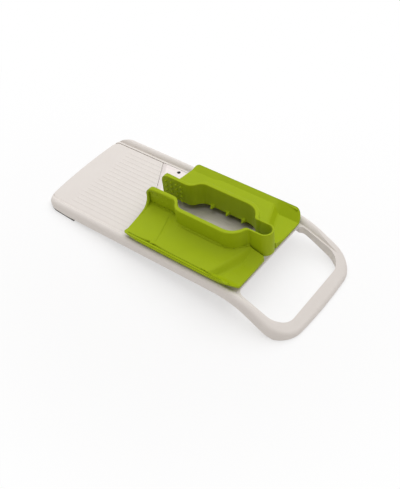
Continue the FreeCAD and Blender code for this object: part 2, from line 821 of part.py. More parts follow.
def bed_screws():
    """Screws from below, through the shelves and into the bed."""
    across = f"({WINDOW_HALF} - shelf_width / 2)"
    behind = f"({BLADE_END} - blade_mid) / 3"
    low = f"({BED_LOW} - shelf_thick)"
    screws = []
    for side, sign in (("far", "1"), ("near", "-1")):
        y = f"{sign} * {across}"
        for spot, x in (("front", f"{ramp_edge(y)} + {behind}"), ("back", f"{WINDOW_BACK} - 4 * screw_head")):
            screws.append(screw(f"{side}_{spot}_bed_screw", (x, y, low), "shelf_thick + screw_bite"))
    return screws


def blade_bed(rivets, screws):
    """Plate under the blade, set back from the edge so that slices fall free."""
    setback = "bed_setback / cos(blade_angle)"
    back = f"({WINDOW_BACK} - deck_gap)"
    low = plate("bed_plate", [
        (f"{ramp_edge(f'-{DECK_HALF}')} + {setback}", f"-{DECK_HALF}"),
        (back, f"-{DECK_HALF}"),
        (back, DECK_HALF),
        (f"{ramp_edge(DECK_HALF)} + {setback}", DECK_HALF),
    ], BED_LOW, BED_TOP)
    step_span = (f"{BLADE_END} + deck_gap / 2", back)
    pieces = [low, block("bed_step", step_span, (f"-{DECK_HALF}", DECK_HALF), (BED_LOW, BLADE_TOP))]
    rib_half = f"({WINDOW_HALF} - shelf_width - skin)"
    ribs = 3
    for index in range(ribs):
        middle = f"{BLADE_END} - {ribs - 1 - index} * ({BLADE_END} - blade_mid) / {ribs}"
        span = (f"{middle} - skin / 2", f"{middle} + skin / 2")
        far_end = rib_half if index else f"({rib_half} / 2)"
        near_end = f"-{rib_half}" if index else "0"
        pieces.append(block(f"bed_rib_{index}", span, (near_end, far_end), (f"{BED_LOW} - bed_rib", BED_LOW)))
    return cut("blade_bed", join("bed_body", pieces), rivets + screws)


def bracket_screws():
    """Three screws in a row under the near rail."""
    y = f"-{WINDOW_HALF} - recess_foot / 2"
    screws = []
    for index in range(3):
        place = (f"dial_x + {index - 1} * bracket_pitch", y, BRACKET_LOW)
        screws.append(screw(f"bracket_screw_{index}", place, "bracket_thick + rail_height / 2"))
    return screws


def dial_washer():
    place = ("dial_x", "dial_y", HUB_TOP)
    disc = rod("washer_disc", Z_AXIS, place, "washer_radius", "washer_thick")
    return cut("dial_washer", disc, [rod("washer_hole", Z_AXIS, place, "screw_radius", "washer_thick")])


def dial_screw():
    seat = ("dial_x", "dial_y", f"({HUB_TOP} + washer_thick)")
    return join("dial_screw_form", [
        rod("dial_screw_head", Z_AXIS, seat, "screw_head", "head_height"),
        rod("dial_screw_shank", -Z_AXIS, seat, "screw_radius", "washer_thick + hub_radius"),
    ])


def dial_bracket(screws, centre_screw):
    """Tapered arm from the near rail to a round end, with a hub for the dial."""
    front = "dial_x - bracket_width / 2"
    back = "dial_x + bracket_width / 2"
    end = f"({HALF} - bracket_margin)"
    pad = f"({WINDOW_HALF} + skin / 2)"
    arm = plate("bracket_arm", [
        (front, f"-{end}"),
        (back, f"-{end}"),
        (back, f"-{pad}"),
        ("dial_x + bracket_round", "dial_y", "bracket_round"),
        ("dial_x", "dial_y + bracket_round", "bracket_round"),
        ("dial_x - bracket_round", "dial_y"),
        (front, f"-{pad}"),
    ], BRACKET_LOW, BRACKET_TOP)
    seat = block("bracket_seat", (front, back), (f"-{end}", f"-{pad}"), (BRACKET_LOW, "-rail_height"))
    hub_height = f"{HUB_TOP} - {BRACKET_LOW}"
    hub = rod("bracket_hub", Z_AXIS, ("dial_x", "dial_y", BRACKET_LOW), "hub_radius", hub_height)
    return cut("dial_bracket", join("bracket_body", [arm, seat, hub]), screws + [centre_screw])


def thickness_dial():
    """Fluted disc with a stair of cam steps, the highest under the follower at rest."""
    centre = ("dial_x", "dial_y", FLANGE_LOW)
    pieces = [rod("dial_disc", Z_AXIS, centre, "dial_radius", "dial_flange")]
    for index in range(DIAL_STEPS - 1):
        height = f"{CAM_TOP} - {index} * step_rise - {FLANGE_LOW}"
        step = rod(f"dial_step_{index}", Z_AXIS, centre, "cam_radius + cam_width / 2", height)
        step.Angle = STEP_ANGLE
        step.Placement.Rotation = FreeCAD.Rotation(Z_AXIS, -STEP_ANGLE * (index + 0.5))
        pieces.append(step)
    well = ("dial_x", "dial_y", FLANGE_TOP)
    bore = ("dial_x", "dial_y", BRACKET_LOW)
    tools = [
        rod("dial_well", Z_AXIS, well, "cam_radius - cam_width / 2", "rail_height"),
        rod("dial_bore", Z_AXIS, bore, "hub_radius + hub_clear", "rail_height"),
    ]
    for index in range(FLUTES):
        angle = 360 * index / FLUTES
        spot = (f"dial_x + dial_radius * cos({angle})", f"dial_y + dial_radius * sin({angle})", BRACKET_LOW)
        tools.append(rod(f"dial_flute_{index}", Z_AXIS, spot, "flute_radius", "rail_height"))
    return cut("thickness_dial", join("dial_body", pieces), tools)


def frame(feet, pins, screws):
    """The moulding, hollowed from below, with seats for what is fastened to it."""
    window_levels = ("-2 * rail_height", f"{PAST}")
    window = block("deck_window", ("front_bar", WINDOW_BACK), (f"-{WINDOW_HALF}", WINDOW_HALF), window_levels)
    opened = cut("frame_opened", frame_envelope(), [frame_recess()])
    shell = cut("frame_shell", opened, [loop_opening(), window] + lip_pocket() + rail_hollows())
    seated = join("frame_seated", [shell] + shelves())
    below = table_slab("below_frame", "-frame_width", "foot_stand")
    rooms = [foot_room("far_foot_room", 1, "0"), foot_room("near_foot_room", -1, "0")]
    return cut("frame", seated, [below] + rooms + feet + pins + screws)


def swell(start, end, share):
    """Corners of a smooth S from start to end, level at both; share is how much of it is the first bend."""
    run = f"({end[0]} - ({start[0]}))"
    rise = f"({end[1]} - ({start[1]}))"
    bend = f"(({run} ^ 2 + {rise} ^ 2) / (2 * abs({rise})))"
    middle = (f"{start[0]} + {share} * {run}", f"{start[1]} + {share} * {rise}")
    turn = 1 if value(f"{run} * {rise}") > 0 else -1
    return [
        (start[0], start[1], f"{turn} * {share} * {bend}"),
        (middle[0], middle[1], f"{-turn} * (1 - {share}) * {bend}"),
        end,
    ]


def jaw_outside(gap):
    """The near jaw's outer side from the tab to the pinch, moved out by a gap."""
    tab = f"(-tab_half - tab_wall - {gap})"
    eye = f"(-eye_half - eye_wall - {gap})"
    pinch = f"(-pinch_half - band_thick - {gap})"
    lead = "tab_wall / 2"
    front = swell((f"tab_back - {lead}", tab), ("eye_front", eye), "0.5")
    back = swell(("eye_back", eye), ("pinch_x", pinch), "0.85")
    return front, back, tab, pinch


def above_corner(name):
    """Room outside the tab's rounded upper front corner."""
    side = outline(f"{name}_side", "side", [
        (f"tab_front - {PAST}", f"jaw_top + {PAST}"),
        (f"tab_front - {PAST}", "jaw_top - tab_corner"),
        ("tab_front", "jaw_top - tab_corner", "-tab_corner"),
        ("tab_front + tab_corner", "jaw_top"),
        ("tab_front + tab_corner", f"jaw_top + {PAST}"),
    ])
    return prism(name, side, Y_AXIS, "frame_width", "frame_width")


def near_jaw():
    """Upright wall with finger tab, eye and pinch, holding cones and prongs."""
    front, back, tab, pinch = jaw_outside("0")
    inner_back = swell(("pinch_x - pinch_lead", "-pinch_half"), ("eye_back", "-eye_half"), "0.2")
    inner_front = swell(("eye_front", "-eye_half"), ("tab_back", "-tab_half"), "0.5")
    corners = [("tab_front", tab)] + front + back
    corners += [("pinch_x", "-pinch_half")] + inner_back + inner_front + [("tab_front", "-tab_half")]
    wall = plate("jaw_wall", corners, "jaw_bottom", "jaw_top")
    top = value("jaw_top")
    end = value("tab_front")
    reach = value("tab_corner")
    bottom = value("jaw_bottom")

    def on_corner(point):
        from_centre = math.hypot(point.x - end - reach, point.z - top + reach)
        return abs(from_centre - reach) < NEAR and point.x < end + reach and point.z > top - reach

    def on_rim(edge):
        points = samples(edge)
        crosses = all(abs(point.y - points[0].y) > NEAR for point in points[1:])
        if crosses and abs(points[0].x - points[-1].x) < NEAR:
            return False
        for point in points:
            on_top = abs(point.z - top) < NEAR
            on_end = abs(point.x - end) < NEAR
            if not (on_top or on_end or on_corner(point)):
                return False
        return max(points[0].z, points[-1].z) > bottom + NEAR

    cornered = cut("jaw_cornered", wall, [above_corner("jaw_corner")])
    body = rounded("jaw_rounded", cornered, "jaw_round", on_rim)
    sunk = "jaw_round / 2"
    pieces = [body]
    for column in range(4):
        for level in range(4):
            spot = (f"tab_front + {column + 1} * cone_pitch_x", f"-tab_half - {sunk}",
                    f"jaw_top - cone_inset - {level} * cone_pitch_z")
            pieces.append(taper(f"cone_{column}_{level}", Y_AXIS, spot, "cone_radius", "cone_radius / 3",
                                f"cone_length + {sunk}"))
    for index in range(3):
        prong = doc.addObject("Part::Wedge", f"prong_{index}")
        bind(prong, {
            "Xmin": "-prong_width / 2", "Xmax": "prong_width / 2", "X2min": "-prong_width / 20",
            "X2max": "prong_width / 20", "Ymin": "0", "Ymax": f"prong_length + {sunk}", "Zmin": "0",
            "Zmax": "prong_height", "Z2min": "0", "Z2max": "prong_height / 10",
            "Placement.Base.x": f"(eye_front + eye_back) / 2 + {index - 1} * prong_pitch",
            "Placement.Base.y": f"-eye_half - {sunk}", "Placement.Base.z": "jaw_bottom",
        })
        pieces.append(prong)
    return join("near_jaw", pieces)


def wing_section(name, x, inner, foot, crease, flat, lean="0"):
    """Cross section of the near wing: flared foot, flat, turned-up guard; lean turns it about the upright."""
    foot_y = f"({inner} / cos({lean}))"
    flare_y = f"({FLARE_END} / cos({lean}))"
    crease_y = f"(({HALF} - {crease}) / cos({lean}))"
    edge_y = f"({GUARD_END} / cos({lean}))"
    sweep = f"({flare_y} - {foot_y})"
    lift = f"({foot} - {flat})"
    flare = f"(({sweep} ^ 2 + {lift} ^ 2) / (2 * {lift}))"
    under = f"({flat} + {flare} - sqrt(({flare} + wing_thick) ^ 2 - {sweep} ^ 2))"
    run = f"({edge_y} - {crease_y})"
    rise = f"(guard_top - {flat})"
    length = f"sqrt({run} ^ 2 + {rise} ^ 2)"
    return outline(name, "section", [
        (f"-{foot_y}", foot, f"-{flare}"),
        (f"-{flare_y}", flat),
        (f"-{crease_y}", flat),
        (f"-{edge_y}", "guard_top"),
        (f"-{edge_y}", "guard_top - wing_edge"),
        (f"-{crease_y} - wing_thick * {rise} / ({length} + {run})", f"{flat} - wing_thick"),
        (f"-{flare_y}", f"{flat} - wing_thick", f"{flare} + wing_thick"),
        (f"-{foot_y}", under),
    ], x, lean)


def eased(first, second, share):
    """A formula that runs smoothly from one formula to another as share runs from 0 to 1."""
    return f"({first} + ({second} - {first}) * {share * share * (3 - 2 * share)})"


def wing_loft():
    """The wing's three panels: low at the tab, high beside the eye, low again past a slanting fall."""
    front = ("front_crease", "front_flat")
    middle = ("middle_crease", "middle_flat")
    back = ("back_crease", "back_flat")
    before_rise = ("tab_half", "tab_foot") + front
    after_rise = ("((tab_half + eye_half) / 2)", "((tab_foot + eye_foot) / 2)") + middle
    before_fall = ("pinch_half", "pinch_foot") + middle
    after_fall = ("pinch_half", "(back_flat + back_foot)") + back
    shares = [step / BLENDS for step in range(BLENDS + 1)]
    sections = [wing_section("wing_tip", "wing_front - 2 * wing_sweep", *before_rise)]
    for index, share in enumerate(shares):
        form = [eased(first, second, share) for first, second in zip(before_rise, after_rise)]
        x = f"rise_front + {share} * (rise_back - rise_front)"
        sections.append(wing_section(f"wing_rise_{index}", x, *form))
    eye = ("eye_half", "eye_foot") + middle
    sections.append(wing_section("wing_eye_front", "eye_front - tab_wall / 2", *eye))
    sections.append(wing_section("wing_eye_back", "eye_back", *eye))
    for index, share in enumerate(shares):
        form = [eased(first, second, share) for first, second in zip(before_fall, after_fall)]
        x = f"fall_x + {share - 0.5} * fall_run"
        sections.append(wing_section(f"wing_fall_{index}", x, *form, "fall_lean"))
    sections.append(wing_section("wing_heel", "wing_back", *after_fall))
    loft = doc.addObject("Part::Loft", "wing_loft")
    loft.Sections = sections
    loft.Solid = True
    loft.Ruled = True
    return loft


def wing_runners():
    """Upright strips under the wing that ride just above the deck."""
    outer = f"({HALF} - recess_foot - runner_gap)"
    sides = (f"-{outer}", f"-{outer} + runner_width")
    low = "runner_lift - recess_depth"
    fall = f"(fall_x - {outer} * tan(fall_lean) - fall_run)"
    start = "wing_front + wing_back_corner"
    return [
        block("front_runner", (start, "rise_front"), sides, (low, "front_flat - wing_thick / 2")),
        block("middle_runner", ("rise_back", fall), sides, (low, "middle_flat - wing_thick / 2")),
    ]


def wing_edge_x(y):
    """The wing's swept front edge at a distance from the middle."""
    return f"(wing_front - wing_sweep * (1 - {y} / ({GUARD_END} - wing_front_corner)))"


def tab_curl():
    """The wing's front edge, turned up in a sweep to the tab's rounded end."""
    inner = "(tab_half + tab_wall / 2)"
    outer = "(tab_half + tab_wall + curl_reach)"
    end = f"({outer} + curl_sweep)"
    seat = "(front_flat + wing_thick / 3)"
    shoulder = "(jaw_top - tab_corner)"
    face = outline("curl_face", "section", [
        (f"-{inner}", shoulder),
        (f"-{outer}", shoulder),
        (f"-{outer}", f"{seat} + curl_sweep", "-curl_sweep"),
        (f"-{end}", seat),
        (f"-{end}", "front_flat"),
        (f"-{inner}", "tab_foot - wing_thick / 2"),
    ], "wing_front - 2 * wing_sweep")
    sweep = prism("curl_sweep_room", face, X_AXIS, "4 * wing_sweep")
    strip = plate("curl_strip", [
        (wing_edge_x("0"), "0"),
        (wing_edge_x(end), f"-{end}"),
        (f"{wing_edge_x(end)} + curl_thick", f"-{end}"),
        (f"{wing_edge_x('0')} + curl_thick", "0"),
    ], "0", "jaw_top")
    within = "(tab_corner - curl_thick)"
    middle = "(tab_front + tab_corner)"
    rim = outline("curl_rim", "side", [
        ("tab_front", shoulder, "-tab_corner"),
        (f"{middle} - tab_corner * cos(curl_turn)", f"{shoulder} + tab_corner * sin(curl_turn)"),
        (f"{middle} - {within} * cos(curl_turn)", f"{shoulder} + {within} * sin(curl_turn)", within),
        ("tab_front + curl_thick", shoulder),
    ], f"-{inner}")
    top = prism("curl_top", rim, -Y_AXIS, "tab_wall / 2 + curl_reach")
    return join("tab_curl", [overlap("curl_form", [strip, sweep]), top])


def wing_collar(loft):
    """Low step in the wing round the jaw's foot."""
    front, back, tab, pinch = jaw_outside("collar_width")
    band = plate("collar_band", [("tab_front", tab)] + front + back + [
        ("pinch_x", "0"),
        ("tab_front", "0"),
    ], "-rail_height", "jaw_top")
    raised = doc.addObject("Part::Compound", "raised_loft")
    raised.Links = [loft]
    bind(raised, {"Placement.Base.z": "collar_rise"})
    return overlap("wing_collar", [raised, band])


def near_wing():
    """Guard lofted through cross sections, trimmed to its outline and to the jaw, with runners below."""
    trim = plate("wing_outline", [
        (wing_edge_x("0"), "0"),
        ("wing_front", f"-{GUARD_END} + wing_front_corner", "wing_front_corner"),
        ("wing_front + wing_front_corner", f"-{GUARD_END}"),
        ("wing_back - wing_back_corner", f"-{GUARD_END}", "wing_back_corner"),
        ("wing_back", f"-{GUARD_END} + wing_back_corner"),
        ("wing_back", "0"),
    ], "-rail_height", "jaw_top")
    front, back, tab, pinch = jaw_outside("jaw_fit")
    before = f"wing_front - {2 * PAST} - wing_sweep"
    inside = plate("jaw_room", [(before, tab)] + front + back + [
        ("pinch_x", f"{pinch} - band_room"),
        (f"wing_back + {PAST}", f"{pinch} - band_room"),
        (f"wing_back + {PAST}", f"{PAST}"),
        (before, f"{PAST}"),
    ], "-rail_height", "2 * jaw_top")
    loft = wing_loft()
    trimmed = overlap("wing_trimmed", [loft, trim])
    panel = cut("wing_panel", join("wing_raised", [trimmed, wing_collar(loft), tab_curl()]), [inside])
    return join("near_wing", [panel] + wing_runners())


def spring_loop():
    """Thin U-shaped band between the jaws."""
    outer = "(pinch_half + band_thick)"
    start = "(pinch_x + band_gap)"
    turn = f"(pinch_x + band_length - {outer})"
    return plate("spring_loop", [
        (start, f"-{outer}"),
        (turn, f"-{outer}", outer),
        (f"{turn} + {outer}", "0", outer),
        (turn, outer),
        (start, outer),
        (start, "pinch_half"),
        (turn, "pinch_half", "-pinch_half"),
        (f"{turn} + pinch_half", "0", "-pinch_half"),
        (turn, "-pinch_half"),
        (start, "-pinch_half"),
    ], "band_bottom", "jaw_top")


feet = [front_foot(), handle_foot()]
pins = ramp_pins()
rivets = blade_rivets()
bed_fixings = bed_screws()
bracket_fixings = bracket_screws()
centre_screw = dial_screw()
jaw = near_jaw()
wing = near_wing()
body = frame(feet, pins, bed_fixings + bracket_fixings)

placed = [
    body,
    group("front_foot", [feet[0]]),
    group("handle_foot", [feet[1]]),
    group("ramp_pins", pins),
    ramp_plate(),
    blade(rivets),
    blade_bed(rivets, bed_fixings),
    group("blade_rivets", rivets),
    group("bed_screws", bed_fixings),
    group("bracket_screws", bracket_fixings),
    dial_bracket(bracket_fixings, centre_screw),
    group("dial_screw", [centre_screw]),
    dial_washer(),
    thickness_dial(),
    jaw,
    wing,
    spring_loop(),
]
far_side = [mirrored("far_jaw", jaw), mirrored("far_wing", wing)]
doc.recompute()

# The tray is tipped back by its slope and stands on the table, with the frame's middle over the origin.
tilt = FreeCAD.Rotation(Y_AXIS, -value(TRAY_TILT))
lift = value(f"rest_drop * cos({TRAY_TILT}) - rest_x * sin({TRAY_TILT})")
tipped = body.Shape.copy()
tipped.Placement = FreeCAD.Placement(FreeCAD.Vector(0, 0, lift), tilt)
box = tipped.optimalBoundingBox()
stance = FreeCAD.Placement(FreeCAD.Vector(-(box.XMin + box.XMax) / 2, 0, lift), tilt)
for piece in placed:
    piece.Placement = stance
doc.recompute()

for thing in doc.Objects:
    if "Invalid" in thing.State or "Error" in thing.State:
        raise RuntimeError(f"{thing.Label} did not build: {thing.State}")
os.makedirs("parts", exist_ok=True)
for piece in placed + far_side:
    if piece.Shape.isNull() or not piece.Shape.isValid():
        raise RuntimeError(f"{piece.Label} has no valid shape")
    piece.Shape.exportStep(f"parts/{piece.Label}.step")
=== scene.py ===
"""Mandoline slicer on a white table: finishes, spring band, grip trim, screws, dial marks, light, camera."""
import json
import math

import bpy
from mathutils import Matrix, Vector


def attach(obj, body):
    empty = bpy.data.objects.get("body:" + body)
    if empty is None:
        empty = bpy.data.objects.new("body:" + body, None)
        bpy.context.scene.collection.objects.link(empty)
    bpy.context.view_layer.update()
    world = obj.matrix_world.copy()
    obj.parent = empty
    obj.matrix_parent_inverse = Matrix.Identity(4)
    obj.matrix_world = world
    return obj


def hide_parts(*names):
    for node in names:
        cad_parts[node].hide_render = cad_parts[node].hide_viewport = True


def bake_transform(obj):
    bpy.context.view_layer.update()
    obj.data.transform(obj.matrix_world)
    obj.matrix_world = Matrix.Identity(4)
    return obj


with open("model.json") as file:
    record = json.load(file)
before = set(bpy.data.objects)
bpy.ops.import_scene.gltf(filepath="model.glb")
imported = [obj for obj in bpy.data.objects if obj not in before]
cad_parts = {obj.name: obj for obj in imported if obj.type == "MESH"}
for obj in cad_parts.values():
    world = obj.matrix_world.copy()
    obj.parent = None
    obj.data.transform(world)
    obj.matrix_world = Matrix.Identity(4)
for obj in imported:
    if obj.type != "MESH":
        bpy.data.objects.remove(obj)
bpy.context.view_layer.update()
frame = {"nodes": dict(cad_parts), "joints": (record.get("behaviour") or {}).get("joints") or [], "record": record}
NODES = frame["nodes"]

# New pieces are drawn in millimetres on the tray, x from its front end, y to the far side and z up from its
# rails, and then set down in the frame, which is in metres with the tray tipped up towards the handle.
MM = 0.001
JOINT = {joint["name"]: joint for joint in frame["joints"]}
SLIDE = Vector(JOINT["grip_slide"]["axis"])
TRAY_TILT = math.atan2(SLIDE.z, SLIDE.x)
TRAY_FRONT = Vector((-171.024, 0, 10.075)) * MM
ON_TRAY = Matrix.Translation(TRAY_FRONT) @ Matrix.Rotation(-TRAY_TILT, 4, "Y") @ Matrix.Scale(MM, 4)

# Spring band
BAND_START = 253.0
BAND_END = 275.0
BAND_HALF = 8.6
BAND_THICK = 2.0
BAND_LOW = 0.8
BAND_TOP = 31.0
BAND_ROUND = 0.5
BAND_STEPS = 32

# Beads on the near half of the grip; HALVES turns them over for the far half
HALVES = {"near": 1, "far": -1}
TAB_BEAD = [
    (122.6, -42, 4.0), (120.6, -22, 4.6), (119.5, -16, 11), (119.5, -15, 17), (119.5, -14.9, 24.5),
    (124.4, -14.7, 29.3), (130, -14.3, 29.3), (138, -13.9, 29.3), (148, -13.6, 29.3), (158, -13.9, 29.3),
]
TAB_BEAD_RADIUS = 1.7
COLLAR_BEAD = [
    (120, -15.3, 9.3), (140, -15.3, 9.3), (156, -15.3, 9.5), (165, -22.6, 10.3), (174, -28.5, 11.0),
    (190, -28.8, 11.1), (212, -28.8, 11.1), (232, -28.8, 11.1), (244, -20.6, 10.2), (253, -11.6, 9.9),
]
COLLAR_BEAD_RADIUS = 0.5
EDGE_LIP = [(126.5, -64.6, 5.9), (131, -66.4, 5.5), (195, -66.4, 5.5), (256, -66.4, 5.5), (264, -64.2, 5.9)]
EDGE_LIP_RADIUS = 1.5
BEAD_START = 0.3
BEAD_STEPS = 8
BEAD_FINENESS = 4

# Cones inside the finger tabs and studs outside them, near half
CONE_FIRST = (125.0, 23.8)
CONE_PITCH = (7.0, 6.8)
CONE_COLUMNS = 4
CONE_SIDES = 20
CONE_FOOT = -10.9
CONE_ROWS = 4
CONE_RADIUS = 1.9
CONE_TIP = 0.8
CONE_LENGTH = 2.5
STUD_FOOT = -13.6
STUD_ROWS = 3
STUD_RADIUS = 1.3
STUD_TIP = 0.6
STUD_LENGTH = 1.1

# Flare at the back of the wings
HEEL_X = (253.0, 270.9)
HEEL_Y = (11.0, 34.0)
HEEL_TOP = (8.6, 3.6)
HEEL_FLAT = -2.15
HEEL_THICK = 0.6
HEEL_STEPS = 16

# Groove and crease in the near wing
GROOVE_ROOM = 6.0
GROOVE_WIDTH = 1.3
RIM_GROOVE = [(129.0, -63.5, 5.75), (233.0, -63.5, 5.75), (243.0, -63.5, 4.3), (266.0, -63.5, 4.3)]
CREASE_START = Vector((151.8, -20.5, 0))
CREASE_END = Vector((162.8, -57.2, 0))
CREASE_STEPS = 12
CREASE_DEPTH = 0.4
CREASE_WIDTH = 0.9
ABOVE_WING = Vector((0, 0, 31))

# Screws
HEAD_RADIUS = 2.6
HEAD_HEIGHT = 1.5
HEAD_ROUND = 0.8
HEAD_SIDES = 40
SHANK_RADIUS = 1.3
SLOT_LENGTH = 3.0
SLOT_WIDTH = 0.7
SLOT_DEPTH = 0.9
SLOT_TAPER = 0.4
BED_SCREW_SHANK = 4.5
BED_SCREWS = [(120.08, 54.9, -11.0), (240.7, 54.9, -11.0), (182.45, -54.9, -11.0), (240.7, -54.9, -11.0)]
BRACKET_SCREW_SHANK = 8.7
BRACKET_SCREWS = [(81.0, -62.65, -15.95), (90.0, -62.65, -15.95), (99.0, -62.65, -15.95)]

# Dial marks
DIAL_MIDDLE = Vector((90.0, -24.0, -13.55))
DIAL_STEPS = 9
STEP_TURN = math.radians(30)
READING_SIDE = math.radians(90)
NUMBER_RING = 12.9
NUMBER_SIZE = 4.6
MARK_RELIEF = 0.12
POINTER_LOW = -15.95
POINTER_PLACE = 4.6
POINTER_SIZE = 2.4

# Smoothing and welding
QUARTER = math.radians(90)
SMOOTH_ANGLE = math.radians(30)
WING_SMOOTH_ANGLE = math.radians(25)
RIM_ANGLE = math.radians(40)
WELD = 0.001
WING_WELD = 0.002 * MM

# Light and camera
TABLE_SIZE = 6.0
TABLE_GREY = (0.97, 0.97, 0.97, 1)
WHITE = (1, 1, 1, 1)
WARM = (1.0, 0.96, 0.92, 1)
COOL = (0.93, 0.955, 1.0)
PHOTO_HEIGHT = 489
FOCAL_LENGTH = 820
CAMERA_PLACE = Vector((377.85, -486.81, 690.55)) * MM
CAMERA_AIM = Vector((14.01, -9.95, 0)) * MM


class Wire:
    """A socket in a material: arithmetic on it adds Math nodes, and node() adds any other node."""

    def __init__(self, tree, socket=None):
        self.tree = tree
        self.socket = socket

    def node(self, kind, settings=(), inputs=(), output=0):
        made = self.tree.nodes.new(kind)
        for name, setting in dict(settings).items():
            setattr(made, name, setting)
        for name, given in dict(inputs).items():
            if isinstance(given, Wire):
                self.tree.links.new(given.socket, made.inputs[name])
            else:
                made.inputs[name].default_value = given
        return Wire(self.tree, made.outputs[output])

    def math(self, operation, first, second):
        return self.node("ShaderNodeMath", {"operation": operation}, {0: first, 1: second})

    def __add__(self, other):
        return self.math("ADD", self, other)

    def __radd__(self, other):
        return self.math("ADD", other, self)

    def __mul__(self, other):
        return self.math("MULTIPLY", self, other)

    def __rmul__(self, other):
        return self.math("MULTIPLY", other, self)


def linear(red, green, blue):
    """A colour as it looks on screen, 0 to 255, as the shader takes it."""
    shares = [channel / 255 for channel in (red, green, blue)]
    return [s / 12.92 if s <= 0.04045 else ((s + 0.055) / 1.055) ** 2.4 for s in shares] + [1.0]


def new_finish(name):
    """A material with its shader, and a wire to start from."""
    material = bpy.data.materials.new(name)
    material.use_nodes = True
    tree = material.node_tree
    shader = tree.nodes["Principled BSDF"]
    return material, Wire(tree), shader


def noise(wire, scale, detail=2.0, stretch=(1, 1, 1), turn=(0, 0, 0)):
    """Noise over the object's own coordinates, stretched and turned."""
    place = wire.node("ShaderNodeTexCoord", output="Object")
    mapped = wire.node("ShaderNodeMapping", {}, {"Vector": place, "Rotation": turn, "Scale": stretch})
    return wire.node("ShaderNodeTexNoise", {}, {"Vector": mapped, "Scale": scale, "Detail": detail})


def mix(wire, share, first, second):
    """Two colours mixed by a share."""
    return wire.node("ShaderNodeMix", {"data_type": "RGBA"}, {"Factor": share, 6: first, 7: second}, output=2)


def feed(wire, shader, name, given):
    """Link a wire to an input of a shader."""
    wire.tree.links.new(given.socket, shader.inputs[name])


def bump(wire, shader, height, distance):
    """Raise and lower the surface in fine relief."""
    normal = wire.node("ShaderNodeBump", {}, {"Height": height, "Strength": 1.0, "Distance": distance})
    feed(wire, shader, "Normal", normal)


def seen(wire):
    """1 where the camera looks, straight on or by way of a shiny or clear surface, else 0."""
    kinds = ("Camera", "Glossy", "Transmission")
    rays = [wire.node("ShaderNodeLightPath", output=f"Is {kind} Ray") for kind in kinds]
    return rays[0] + rays[1] + rays[2]


def moulded_plastic(name, colour, shade, roughness, shine):
    """Satin moulded plastic: faint cloudy colour, a fine spark-eroded grain and slight sink marks."""
    material, wire, shader = new_finish(name)
    cloud = noise(wire, scale=60.0, detail=3.0)
    grain = noise(wire, scale=2600.0)
    feed(wire, shader, "Base Color", mix(wire, cloud, linear(*shade), linear(*colour)))
    feed(wire, shader, "Roughness", roughness + 0.10 * cloud + 0.08 * grain)
    bump(wire, shader, 0.8 * cloud + 0.2 * grain, distance=0.12 * MM)
    shader.inputs["Specular IOR Level"].default_value = shine
    return material


def brushed_steel(name, colour, shade):
    """Steel with fine lines along the tray."""
    material, wire, shader = new_finish(name)
    lines = noise(wire, scale=900.0, detail=4.0, stretch=(0.012, 1.0, 1.0), turn=(0, TRAY_TILT, 0))
    patches = noise(wire, scale=30.0)
    feed(wire, shader, "Base Color", mix(wire, lines, linear(*shade), linear(*colour)))
    feed(wire, shader, "Roughness", 0.40 + 0.20 * lines + 0.08 * patches)
    bump(wire, shader, lines, distance=0.04 * MM)
    shader.inputs["Metallic"].default_value = 1.0
    return material


def plain_steel(name, colour, shade, roughness):
    """Turned or stamped fastener steel with faint scuffs."""
    material, wire, shader = new_finish(name)
    scuffs = noise(wire, scale=1400.0, detail=5.0)
    feed(wire, shader, "Base Color", mix(wire, scuffs, linear(*shade), linear(*colour)))
    feed(wire, shader, "Roughness", roughness + 0.2 * scuffs)
    bump(wire, shader, scuffs, distance=0.03 * MM)
    shader.inputs["Metallic"].default_value = 1.0
    return material


def soft_rubber(name, colour, shade):
    """Matt rubber with a fine pitted skin."""
    material, wire, shader = new_finish(name)
    pits = noise(wire, scale=3200.0, detail=3.0)
    feed(wire, shader, "Base Color", mix(wire, pits, linear(*shade), linear(*colour)))
    feed(wire, shader, "Roughness", 0.72 + 0.2 * pits)
    bump(wire, shader, pits, distance=0.15 * MM)
    return material


FINISHES = {
    "body_plastic": moulded_plastic(
        "off_white_plastic", colour=(228, 222, 216), shade=(223, 216, 210), roughness=0.40, shine=0.35),
    "grip_plastic": moulded_plastic(
        "lime_plastic", colour=(160, 179, 14), shade=(152, 171, 8), roughness=0.48, shine=0.14),
    "blade_steel": brushed_steel(
        "brushed_blade_steel", colour=(216, 209, 206), shade=(186, 177, 172)),
    "fastener_steel": plain_steel(
        "zinc_steel", colour=(196, 196, 198), shade=(160, 160, 162), roughness=0.28),
    # The rivet heads under dark_steel are real pieces; their near-black colour is painted shade, standing for the
    # dark of a deep hole.
    "dark_steel": plain_steel(
        "near_black_steel_painted_shade", colour=(52, 50, 48), shade=(34, 33, 32), roughness=0.42),
    "foot_rubber": soft_rubber(
        "foot_rubber", colour=(62, 60, 57), shade=(48, 46, 44)),
    "dial_plastic": moulded_plastic(
        "grey_plastic", colour=(122, 122, 119), shade=(114, 114, 112), roughness=0.40, shine=0.35),
}


def dress(piece, slot):
    """Give a piece the finish of a material slot."""
    piece.data.materials.clear()
    piece.data.materials.append(FINISHES[slot])


for part in frame["record"]["subparts"]:
    dress(NODES[part["node"]], part["material_slot"])


def alone(piece):
    """Make a piece the only one selected."""
    bpy.ops.object.select_all(action="DESELECT")
    piece.select_set(True)
    bpy.context.view_layer.objects.active = piece


def settle(piece):
    """Keep a piece's place, turn and scale in its mesh."""
    alone(piece)
    bpy.ops.object.transform_apply(location=True, rotation=True, scale=True)


def pick(piece, wanted):
    """In edit mode, select the faces whose normal is wanted."""
    bpy.ops.mesh.select_all(action="DESELECT")
    bpy.ops.object.mode_set(mode="OBJECT")
    for face in piece.data.polygons:
        face.select = wanted(face.normal)
    bpy.ops.object.mode_set(mode="EDIT")


def faces_up(normal):
    return normal.z > 0.9


def faces_down(normal):
    return normal.z < -0.9


